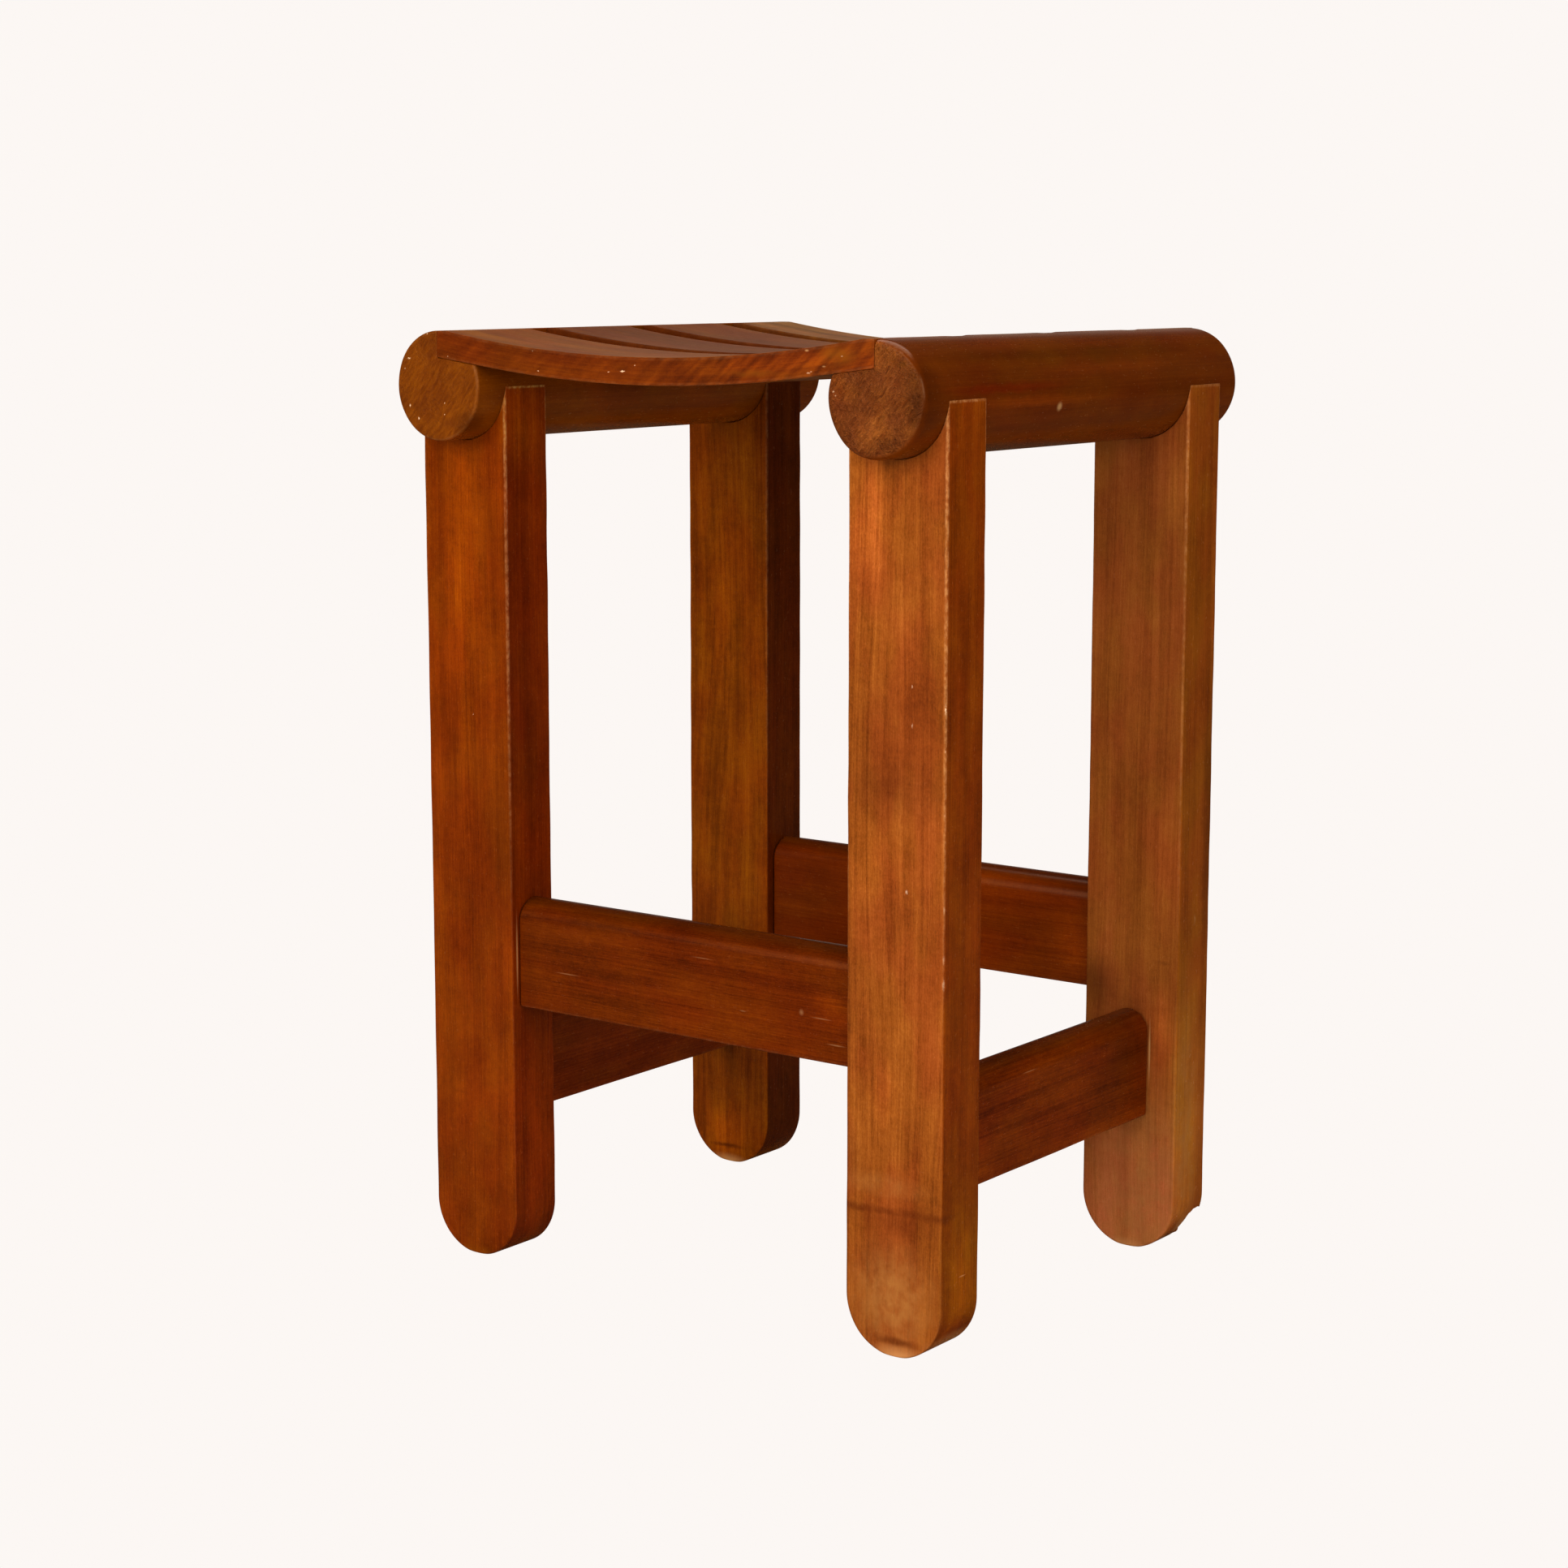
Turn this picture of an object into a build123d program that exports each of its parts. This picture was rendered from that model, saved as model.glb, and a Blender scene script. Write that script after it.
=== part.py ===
from build123d import *
import os
from math import sqrt

# A four-legged teak stool. Two round logs lie front to back in the cradled tops of the legs, and four
# dished slats span between them. The origin is on the floor at the middle of the four feet.
# X runs left to right, Y front to back, and Z up. All lengths are in millimetres.

# Whole stool
SEAT_TOP = 650.0            # floor to the crown of the logs
LEG_SPACING_X = 360.0       # between leg centres, left to right, and so between the log axes
LEG_SPACING_Y = 292.0       # between leg centres, front to back

# Legs
LEG_WIDTH = 75.0            # left to right
LEG_THICKNESS = 43.0        # front to back
LEG_ARRIS = 2.0             # rounding of the leg's long edges
FOOT_FLAT_WIDTH = 14.0      # flat worn on the underside of the half-round foot

# Logs
CRADLE_HORN_TIP = 0.5       # wood that each leg leaves outside the log at its widest
LOG_OVERHANG = 25.5         # past the outer face of the legs, at each end
LOG_RIM_ARRIS = 2.0         # rounding of the rim of each end

# Seat slats
SLAT_THICKNESS = 18.0
SEAT_SAG = 14.5             # depth of the dish at the middle of a slat
SLAT_LANDING = 8.0          # level part of the slat's top beside the log's crown
SLAT_BEARING_MARGIN = 1.5   # straight underside that shows past the log
SLAT_GAP = 26.0             # between neighbouring slats
SLAT_WIDTH_SHARES = (0.28, 0.26, 0.26, 0.20)  # of the width left for wood, front slat first
SLAT_ARRIS = 1.5

# Rails
RAIL_HEIGHT = 76.0
RAIL_THICKNESS = 30.0       # the top is a full half round of this width
SIDE_RAIL_BOTTOM = 99.0     # floor to the underside of the side rails
RAIL_STEP = 9.0             # side rail's top to the underside of the front and back rails
RAIL_ARRIS = 1.0            # rounding of the two lower edges

# Mortise and tenon joints
TENON_THICKNESS = 12.0
TENON_LOWER_SHOULDER = 10.0
TENON_UPPER_SHOULDER = 16.0
BLIND_WALL = 15.0           # wood left between the tenon's end and the leg's far face
MORTISE_END_GAP = 0.5

# Dowels
GLUE_GAP = 0.1              # round a dowel, and between a log and its cradle
LEG_DOWEL_DIAMETER = 12.0
LEG_DOWEL_LENGTH = 50.0     # half in the leg and half in the log
SLAT_DOWEL_DIAMETER = 8.0
SLAT_DOWEL_LENGTH = 28.0
SLAT_DOWEL_IN_SLAT = 10.0
SLAT_DOWEL_INSET = 16.0     # from the slat's end
DOWEL_CHAMFER = 1.0
DOWEL_END_GAP = 0.5

CUT_OVERRUN = 5.0           # how far every cutting solid runs past the wood

# Worked-out places
LOG_RADIUS = LEG_WIDTH / 2 - CRADLE_HORN_TIP
LOG_AXIS_Z = SEAT_TOP - LOG_RADIUS
LOG_AXIS_X = LEG_SPACING_X / 2
LOG_LENGTH = LEG_SPACING_Y + LEG_THICKNESS + 2 * LOG_OVERHANG
LONG_RAIL_BOTTOM = SIDE_RAIL_BOTTOM + RAIL_HEIGHT + RAIL_STEP

# The dish is one arc from landing to landing, and the underside follows it at the slat's thickness.
DISH_HALF_SPAN = LOG_AXIS_X - SLAT_LANDING
DISH_RADIUS = (DISH_HALF_SPAN**2 + SEAT_SAG**2) / (2 * SEAT_SAG)
DISH_CENTRE_Z = SEAT_TOP - SEAT_SAG + DISH_RADIUS
BEARING_LENGTH = LOG_RADIUS + SLAT_BEARING_MARGIN
BEARING_INNER_X = LOG_AXIS_X - BEARING_LENGTH
BEARING_OUTER_Z = SEAT_TOP - SLAT_THICKNESS
BEARING_INNER_Z = DISH_CENTRE_Z - sqrt((DISH_RADIUS + SLAT_THICKNESS) ** 2 - BEARING_INNER_X**2)


def along_y(radius, length):
    """A cylinder that lies front to back, centred on the origin."""
    return Rot(90, 0, 0) * Cylinder(radius, length)


def along_x(radius, length):
    """A cylinder that lies left to right, centred on the origin."""
    return Rot(0, 90, 0) * Cylinder(radius, length)


def bearing_height(inset):
    """Height of the rebate's sloping floor, a distance in from the log's axis."""
    return BEARING_OUTER_Z + (BEARING_INNER_Z - BEARING_OUTER_Z) * inset / BEARING_LENGTH


def slat_bands():
    """Centre and width of each slat along Y, from the front."""
    wood = LOG_LENGTH - SLAT_GAP * (len(SLAT_WIDTH_SHARES) - 1)
    front = -LOG_LENGTH / 2
    bands = []
    for share in SLAT_WIDTH_SHARES:
        width = wood * share / sum(SLAT_WIDTH_SHARES)
        bands.append((front + width / 2, width))
        front += width + SLAT_GAP
    return bands


def slat_dowel_places():
    """X and Y of the two dowels in each end of each slat."""
    x = LOG_AXIS_X - SLAT_DOWEL_INSET
    return [
        (side * x, centre + half * width / 4)
        for side in (-1, 1)
        for centre, width in slat_bands()
        for half in (-1, 1)
    ]


def dowel(diameter, length):
    """A peg with chamfered ends that stands on its lower end."""
    peg = Pos(0, 0, length / 2) * Cylinder(diameter / 2, length)
    rims = peg.edges().filter_by(GeomType.CIRCLE)
    return peg.chamfer(DOWEL_CHAMFER, DOWEL_CHAMFER, rims)


def dowel_hole(diameter, length):
    """The room for a dowel, with the glue gap round it and a gap past both its ends."""
    return Pos(0, 0, length / 2) * Cylinder(diameter / 2 + GLUE_GAP, length + 2 * DOWEL_END_GAP)


def leg_dowel_base():
    """Height of the lower end of a leg dowel, which is centred on the log's underside."""
    return LOG_AXIS_Z - LOG_RADIUS - LEG_DOWEL_LENGTH / 2


def slat_dowel_base():
    """Height of the lower end of a slat dowel."""
    return bearing_height(SLAT_DOWEL_INSET) + SLAT_DOWEL_IN_SLAT - SLAT_DOWEL_LENGTH


def tenon_height():
    return RAIL_HEIGHT - TENON_LOWER_SHOULDER - TENON_UPPER_SHOULDER


def tenon_middle(rail_bottom):
    """Height of the middle of a rail's tenons."""
    return rail_bottom + TENON_LOWER_SHOULDER + tenon_height() / 2


def leg_blank():
    """A squared upright on a half-round foot, before its joints are cut."""
    foot_radius = LEG_WIDTH / 2
    foot_centre = sqrt(foot_radius**2 - (FOOT_FLAT_WIDTH / 2) ** 2)
    shaft_height = LOG_AXIS_Z - foot_centre
    shaft = Pos(0, 0, foot_centre + shaft_height / 2) * Box(LEG_WIDTH, LEG_THICKNESS, shaft_height)
    blank = shaft + Pos(0, 0, foot_centre) * along_y(foot_radius, LEG_THICKNESS)
    outline = [
        edge
        for face in blank.faces().filter_by(Axis.Y)
        for edge in face.edges()
        if edge.center().Z < LOG_AXIS_Z - LEG_ARRIS
    ]
    blank = blank.fillet(LEG_ARRIS, outline)
    below_floor = Box(LEG_WIDTH + CUT_OVERRUN, LEG_THICKNESS + CUT_OVERRUN, LEG_WIDTH)
    return blank - Pos(0, 0, -LEG_WIDTH / 2) * below_floor


def leg(side, row):
    """side is -1 for left and 1 for right, row is -1 for front and 1 for back."""
    x = side * LEG_SPACING_X / 2
    y = row * LEG_SPACING_Y / 2
    upright = Pos(x, y, 0) * leg_blank()
    upright -= Pos(x, y, LOG_AXIS_Z) * along_y(LOG_RADIUS + GLUE_GAP, LEG_THICKNESS + 2 * CUT_OVERRUN)
    upright -= Pos(x, y, leg_dowel_base()) * dowel_hole(LEG_DOWEL_DIAMETER, LEG_DOWEL_LENGTH)

    depth = LEG_WIDTH - BLIND_WALL + MORTISE_END_GAP
    mortise = Box(depth + CUT_OVERRUN, TENON_THICKNESS, tenon_height())
    inner_face = x - side * LEG_WIDTH / 2
    middle = inner_face + side * (depth - CUT_OVERRUN) / 2
    upright -= Pos(middle, y, tenon_middle(LONG_RAIL_BOTTOM)) * mortise

    depth = LEG_THICKNESS - BLIND_WALL + MORTISE_END_GAP
    mortise = Box(TENON_THICKNESS, depth + CUT_OVERRUN, tenon_height())
    inner_face = y - row * LEG_THICKNESS / 2
    middle = inner_face + row * (depth - CUT_OVERRUN) / 2
    upright -= Pos(x, middle, tenon_middle(SIDE_RAIL_BOTTOM)) * mortise
    return upright


def rebate(side):
    """The stretch cut along the whole log for the slat ends: an upright wall and a sloping floor."""
    wall_x = side * LOG_AXIS_X
    inner_x = side * BEARING_INNER_X
    above = SEAT_TOP + CUT_OVERRUN
    corners = [
        (wall_x, above),
        (wall_x, BEARING_OUTER_Z),
        (inner_x, BEARING_INNER_Z),
        (inner_x, above),
    ]
    section = Plane.XZ * make_face(Polyline(*corners, close=True))
    return extrude(section, LOG_LENGTH / 2 + CUT_OVERRUN, both=True)


def log(side):
    bar = along_y(LOG_RADIUS, LOG_LENGTH)
    bar = bar.fillet(LOG_RIM_ARRIS, bar.edges().filter_by(GeomType.CIRCLE))
    bar = Pos(side * LOG_AXIS_X, 0, LOG_AXIS_Z) * bar
    bar -= rebate(side)
    for row in (-1, 1):
        y = row * LEG_SPACING_Y / 2
        hole = dowel_hole(LEG_DOWEL_DIAMETER, LEG_DOWEL_LENGTH)
        bar -= Pos(side * LOG_AXIS_X, y, leg_dowel_base()) * hole
    for x, y in slat_dowel_places():
        if x * side > 0:
            bar -= Pos(x, y, slat_dowel_base()) * dowel_hole(SLAT_DOWEL_DIAMETER, SLAT_DOWEL_LENGTH)
    return bar


def slat_section():
    """A dished board seen from the front: level landings, an arc, and straight bearings underneath."""
    end = LOG_AXIS_X
    dish = DISH_HALF_SPAN
    bearing = BEARING_INNER_X
    outline = [
        Line((-end, SEAT_TOP), (-dish, SEAT_TOP)),
        ThreePointArc((-dish, SEAT_TOP), (0, SEAT_TOP - SEAT_SAG), (dish, SEAT_TOP)),
        Line((dish, SEAT_TOP), (end, SEAT_TOP)),
        Line((end, SEAT_TOP), (end, BEARING_OUTER_Z)),
        Line((end, BEARING_OUTER_Z), (bearing, BEARING_INNER_Z)),
        ThreePointArc(
            (bearing, BEARING_INNER_Z),
            (0, SEAT_TOP - SEAT_SAG - SLAT_THICKNESS),
            (-bearing, BEARING_INNER_Z),
        ),
        Line((-bearing, BEARING_INNER_Z), (-end, BEARING_OUTER_Z)),
        Line((-end, BEARING_OUTER_Z), (-end, SEAT_TOP)),
    ]
    return Plane.XZ * make_face(outline)


def slat(centre, width):
    board = extrude(slat_section(), width / 2, both=True)
    long_edges = [
        edge
        for face in board.faces().filter_by(Axis.Y)
        for edge in face.edges()
        if abs(edge.center().X) < LOG_AXIS_X - SLAT_ARRIS
    ]
    board = Pos(0, centre, 0) * board.fillet(SLAT_ARRIS, long_edges)
    for x, y in slat_dowel_places():
        if abs(y - centre) < width / 2:
            hole = dowel_hole(SLAT_DOWEL_DIAMETER, SLAT_DOWEL_LENGTH)
            board -= Pos(x, y, slat_dowel_base()) * hole
    return board


def rail(length, tenon_length):
    """A rail along X with its underside at zero: square below, half round on top, a tenon at each end."""
    round_centre = RAIL_HEIGHT - RAIL_THICKNESS / 2
    bar = Pos(0, 0, round_centre / 2) * Box(length, RAIL_THICKNESS, round_centre)
    bar += Pos(0, 0, round_centre) * along_x(RAIL_THICKNESS / 2, length)
    lower_edges = [
        edge for edge in bar.edges().filter_by(Axis.X) if edge.center().Z < RAIL_ARRIS
    ]
    bar = bar.fillet(RAIL_ARRIS, lower_edges)
    tenons = Box(length + 2 * tenon_length, TENON_THICKNESS, tenon_height())
    return bar + Pos(0, 0, tenon_middle(0)) * tenons


def long_rail(row):
    bar = rail(LEG_SPACING_X - LEG_WIDTH, LEG_WIDTH - BLIND_WALL)
    return Pos(0, row * LEG_SPACING_Y / 2, LONG_RAIL_BOTTOM) * bar


def side_rail(side):
    bar = rail(LEG_SPACING_Y - LEG_THICKNESS, LEG_THICKNESS - BLIND_WALL)
    return Pos(side * LEG_SPACING_X / 2, 0, SIDE_RAIL_BOTTOM) * Rot(0, 0, 90) * bar


def leg_dowels():
    peg = dowel(LEG_DOWEL_DIAMETER, LEG_DOWEL_LENGTH)
    return [
        Pos(side * LEG_SPACING_X / 2, row * LEG_SPACING_Y / 2, leg_dowel_base()) * peg
        for side in (-1, 1)
        for row in (-1, 1)
    ]


def slat_dowels():
    peg = dowel(SLAT_DOWEL_DIAMETER, SLAT_DOWEL_LENGTH)
    return [Pos(x, y, slat_dowel_base()) * peg for x, y in slat_dowel_places()]


def stool():
    """Every node of the stool by name."""
    nodes = {
        "front_left_leg": leg(-1, -1),
        "front_right_leg": leg(1, -1),
        "back_left_leg": leg(-1, 1),
        "back_right_leg": leg(1, 1),
        "left_log": log(-1),
        "right_log": log(1),
        "front_rail": long_rail(-1),
        "back_rail": long_rail(1),
        "left_side_rail": side_rail(-1),
        "right_side_rail": side_rail(1),
        "leg_dowels": Compound(leg_dowels()),
        "slat_dowels": Compound(slat_dowels()),
    }
    for number, (centre, width) in enumerate(slat_bands(), start=1):
        nodes[f"seat_slat_{number}"] = slat(centre, width)
    return nodes


os.makedirs("parts", exist_ok=True)
for name, shape in stool().items():
    export_step(shape, f"parts/{name}.step")
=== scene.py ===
import functools
import math

import bpy
import numpy as np
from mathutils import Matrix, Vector


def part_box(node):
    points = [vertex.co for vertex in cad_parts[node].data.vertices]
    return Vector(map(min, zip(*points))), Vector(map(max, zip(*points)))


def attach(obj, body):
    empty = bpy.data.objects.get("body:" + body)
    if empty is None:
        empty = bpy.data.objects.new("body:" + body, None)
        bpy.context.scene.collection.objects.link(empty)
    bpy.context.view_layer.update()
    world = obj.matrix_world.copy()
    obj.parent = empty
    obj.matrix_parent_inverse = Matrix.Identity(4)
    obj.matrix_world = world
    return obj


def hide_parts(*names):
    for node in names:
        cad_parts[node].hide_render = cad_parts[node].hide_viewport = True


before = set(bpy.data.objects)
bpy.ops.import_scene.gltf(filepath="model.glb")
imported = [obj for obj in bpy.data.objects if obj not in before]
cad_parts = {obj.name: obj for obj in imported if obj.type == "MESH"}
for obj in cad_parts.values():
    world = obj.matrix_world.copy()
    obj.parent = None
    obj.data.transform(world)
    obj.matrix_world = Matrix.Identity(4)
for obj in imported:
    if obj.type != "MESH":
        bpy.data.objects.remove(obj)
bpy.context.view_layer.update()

# Looks of the teak stool: carved and worn wood over the CAD frame, with its camera, lights and floor.
# Everything is in metres, in the frame of the CAD model: X left to right, Y front to back, Z up.

MM = 0.001

# Shapes that the CAD model shares
LEG_ARRIS = 2.0 * MM
FOOT_FLAT_WIDTH = 14.0 * MM
FOOT_ARRIS = 0.8 * MM
CRADLE_GAP = 0.1 * MM
SLAT_THICKNESS = 18.0 * MM
SLAT_LANDING = 8.0 * MM     # flat stretch at each end of a slat's top
SLAT_BEARING_MARGIN = 1.5 * MM
SLAT_ARRIS = 0.7 * MM
RAIL_ARRIS = 1.2 * MM
SHARP = 0.3 * MM            # rounding of an edge that was cut and left

# Hand work and wear, with painted highlights on the edges
RIPPLE_WAVES = 8
GRAIN_STRETCH = 3           # how much longer a ripple is along the grain
PLANING_DEPTH = 0.16 * MM   # how far the planed faces wander inwards
PLANING_LENGTH = 150 * MM
PLANING_SEEDS = {"leg": 10, "log": 40, "slat": 60, "rail": 80}      # of the first piece of each kind
ARRIS_WANDER = 0.18         # share by which an arris widens and narrows
ARRIS_LENGTH = 80 * MM
ARRIS_SEEDS = {"leg": 20, "log": 50, "slat": 70, "rail": 90}
BREAK_ROUGHNESS = 0.5 * MM  # of the split wood where a piece is broken out
BREAK_LENGTH = 9 * MM
BREAK_SEED = 5
WEAR_AND_HIGHLIGHT_REACH = 2.6 * MM       # how far from an edge the wood is paler: varnish rubbed thin, and a painted highlight

# Surface nets
GRID_MARGIN = 1.2 * MM
GRID_GROWTH = 0.28          # how fast the grid's steps widen away from a fine zone
ARRIS_MARGIN = 1 * MM       # how far a fine zone goes past an arris
EDGE_STEP = 0.5 * MM        # the grid's step at most edges
BREAK_STEP = 1.2 * MM       # its widest step where a piece is broken out
PROBE = 0.04 * MM           # how far apart a field is read for its slope
SETTLE_STEPS = 4
SETTLE_LIMIT = 0.4 * MM
LEAST_SLOPE_SQUARED = 0.25
TINY = 1e-12


def metres(sizes):
    """Sizes in mm as metres."""
    return [MM * size for size in sizes]


# Fields: negative inside the wood, zero on its surface, in metres
def meet(radius, *faces):
    """The wood inside all of the faces, with the edges between them rounded."""
    moved = [face + radius for face in faces]
    inner = np.minimum(functools.reduce(np.maximum, moved), 0.0)
    return inner + np.sqrt(sum(np.maximum(face, 0.0) ** 2 for face in moved)) - radius


def edge_share(reach, *faces):
    """1 where two faces meet, falling to 0 at the reach from the edge."""
    second = np.sort(np.stack(np.broadcast_arrays(*faces)), axis=0)[-2]
    return np.clip(1.0 + second / reach, 0.0, 1.0)


class Ripple:
    """Gentle unevenness from -1 to 1: sine waves in seeded directions, longer along the grain."""

    def __init__(self, seed, length, grain=None):
        draw = np.random.default_rng(seed)
        stretch = [GRAIN_STRETCH if axis == grain else 1 for axis in "XYZ"]
        self.pace = draw.normal(size=(RIPPLE_WAVES, 3)) * (2 * math.pi / length) / np.array(stretch)
        self.start = draw.uniform(0, 2 * math.pi, RIPPLE_WAVES)

    def __call__(self, place):
        total = sum(
            np.sin(sum(rate * part for rate, part in zip(pace, place)) + start)
            for pace, start in zip(self.pace, self.start)
        )
        return np.clip(total / math.sqrt(len(self.start)), -1.0, 1.0)


def hand_work(kind, number, grain):
    """Unevenness of one piece's planed faces, and of its arrises."""
    planing = Ripple(PLANING_SEEDS[kind] + number, PLANING_LENGTH, grain)
    return planing, Ripple(ARRIS_SEEDS[kind] + number, ARRIS_LENGTH)


def bite(field, place, centre, size):
    """The field with an egg-shaped piece of wood broken out of it, rough like split wood."""
    reach = np.sqrt(sum(((p - c) / s) ** 2 for p, c, s in zip(place, centre, size)))
    rough = BREAK_ROUGHNESS * Ripple(BREAK_SEED, BREAK_LENGTH, "Z")(place)
    return meet(SHARP, field, (1.0 - reach) * min(size) + rough)


def planed(field, ripple, place):
    """The field with its faces planed by hand, never outside the true size."""
    return field + PLANING_DEPTH * (1.0 + ripple(place)) / 2


# Surface of a field
def grid_lines(low, high, coarse, zones):
    """Grid lines from below low to above high, close together in the zones (from, to, step)."""
    places = [low - GRID_MARGIN]
    while places[-1] < high + GRID_MARGIN:
        here = places[-1]
        steps = [fine + GRID_GROWTH * max(start - here, here - end, 0.0) for start, end, fine in zones]
        places.append(here + min([coarse] + steps))
    return np.array(places)


def both_ends(low, high, reach, step):
    """Fine zones of the grid at both ends of an axis."""
    return [(low, low + reach, step), (high - reach, high, step)]


def grid_axes(node, steps, zones):
    """Grid lines over a node's box, from the widest step and the fine zones along X, Y and Z."""
    low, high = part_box(node)
    return [grid_lines(low[n], high[n], steps[n], zones[n]) for n in range(3)]


def surface_net(field, axes):
    """Vertices and outward quads where a field sampled on a grid changes sign."""
    cells = tuple(count - 1 for count in field.shape)
    total = math.prod(cells)
    counts = np.zeros(total)
    sums = np.zeros((3, total))
    quads = []
    for axis in range(3):
        turned = np.moveaxis(field, axis, 0)
        crossing = np.nonzero((turned[:-1] < 0) != (turned[1:] < 0))
        below = turned[:-1][crossing]
        above = turned[1:][crossing]
        others = [other for other in range(3) if other != axis]
        index = np.empty((3, len(below)), int)
        index[axis], index[others[0]], index[others[1]] = crossing
        point = np.stack([axes[n][index[n]] for n in range(3)])
        step = axes[axis][index[axis] + 1] - axes[axis][index[axis]]
        point[axis] += step * below / (below - above)
        ring = []
        for back in ((0, 0), (1, 0), (1, 1), (0, 1)):
            cell = index.copy()
            cell[others[0]] -= back[0]
            cell[others[1]] -= back[1]
            flat = np.ravel_multi_index(tuple(cell), cells)
            ring.append(flat)
            counts += np.bincount(flat, minlength=total)
            for n in range(3):
                sums[n] += np.bincount(flat, point[n], minlength=total)
        quad = np.stack(ring, axis=1)
        flip = (below < 0) == (axis == 1)
        quad[flip] = quad[flip][:, ::-1]
        quads.append(quad)
    used = np.nonzero(counts)[0]
    order = np.zeros(total, int)
    order[used] = np.arange(len(used))
    return sums[:, used] / counts[used], order[np.concatenate(quads)]


def slope(field_at, place):
    """Gradient of the field at each point."""
    parts = []
    for axis in range(3):
        step = np.zeros((3, 1))
        step[axis] = PROBE
        parts.append((field_at(place + step) - field_at(place - step)) / (2 * PROBE))
    return np.stack(parts)


def settle(field_at, place):
    """Moves the points onto the surface and gives its outward direction there."""
    for _ in range(SETTLE_STEPS):
        gradient = slope(field_at, place)
        step = field_at(place) * gradient / np.maximum((gradient**2).sum(axis=0), LEAST_SLOPE_SQUARED)
        length = np.sqrt((step**2).sum(axis=0))
        place = place - step * np.minimum(1.0, SETTLE_LIMIT / np.maximum(length, TINY))
    gradient = slope(field_at, place)
    return place, gradient / np.maximum(np.sqrt((gradient**2).sum(axis=0)), TINY)


def carve(node, form, axes, material):
    """Makes the piece that a form describes and lets it stand for a CAD node.

    A form gives the field and how near an edge is, from 0 to 1, at any points.
    """
    grid = np.meshgrid(*axes, indexing="ij", sparse=True)
    place, quads = surface_net(form(grid)[0], axes)
    place, normal = settle(lambda where: form(where)[0], place)
    mesh = bpy.data.meshes.new(f"{node}_wood")
    mesh.from_pydata(place.T.tolist(), [], quads.tolist())
    mesh.shade_smooth()
    mesh.normals_split_custom_set_from_vertices(normal.T.tolist())
    layer = mesh.attributes.new("edge", "FLOAT", "POINT")
    layer.data.foreach_set("value", form(place)[1].astype(np.float32))
    mesh.materials.append(material)
    piece = bpy.data.objects.new(f"{node}_wood", mesh)
    bpy.context.scene.collection.objects.link(piece)
    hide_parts(node)
    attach(piece, "root")


# Nodes of a material
class Graph:
    """The nodes of one material, with short calls that give back sockets."""

    def __init__(self, tree):
        self.tree = tree

    def node(self, kind, sockets=None, **settings):
        made = self.tree.nodes.new("ShaderNode" + kind)
        for key, value in settings.items():
            setattr(made, key, value)
        for key, value in (sockets or {}).items():
            self.put(made.inputs[key], value)
        return made

    def put(self, socket, value):
        if isinstance(value, bpy.types.NodeSocket):
            self.tree.links.new(value, socket)
        else:
            socket.default_value = value

    def math(self, operation, *values, clamp=False):
        made = self.node("Math", dict(enumerate(values)), operation=operation, use_clamp=clamp)
        return made.outputs[0]

    def vector(self, operation, *values):
        made = self.node("VectorMath", dict(enumerate(values)), operation=operation)
        return made.outputs["Value" if operation in ("LENGTH", "DOT_PRODUCT") else "Vector"]

    def moved(self, place, way, reach):
        """The place moved by a way times a reach along each axis."""
        return self.vector("ADD", place, self.vector("MULTIPLY", way, reach))

    def centred(self, pattern):
        """A pattern from 0 to 1, made to swing about 0."""
        return self.math("SUBTRACT", pattern, 0.5)

    def add_up(self, total, parts):
        """The total with each part times its weight added to it."""
        for part, weight in parts:
            total = self.math("MULTIPLY_ADD", part, weight, total)
        return total

    def between(self, value, start, end, low=0.0, high=1.0):
        """Goes smoothly from low to high as the value goes from start to end."""
        made = self.node(
            "MapRange",
            {"Value": value, "From Min": start, "From Max": end, "To Min": low, "To Max": high},
            interpolation_type="SMOOTHSTEP",
        )
        return made.outputs[0]

    def mix(self, factor, first, second, blend="MIX"):
        made = self.node("Mix", data_type="RGBA", blend_type=blend)
        for key, value in (("Factor_Float", factor), ("A_Color", first), ("B_Color", second)):
            socket = next(s for s in made.inputs if s.identifier == key)
            self.put(socket, value)
        return next(s for s in made.outputs if s.identifier == "Result_Color")

    def tinted(self, colour, tint):
        return self.mix(1.0, colour, tint, "MULTIPLY")

    def ramp(self, factor, stops):
        made = self.node("ValToRGB", {"Fac": factor})
        band = made.color_ramp
        while len(band.elements) < len(stops):
            band.elements.new(0.5)
        for element, (place, colour) in zip(band.elements, stops):
            element.position = place
            element.color = colour
        return made.outputs["Color"]


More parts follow.
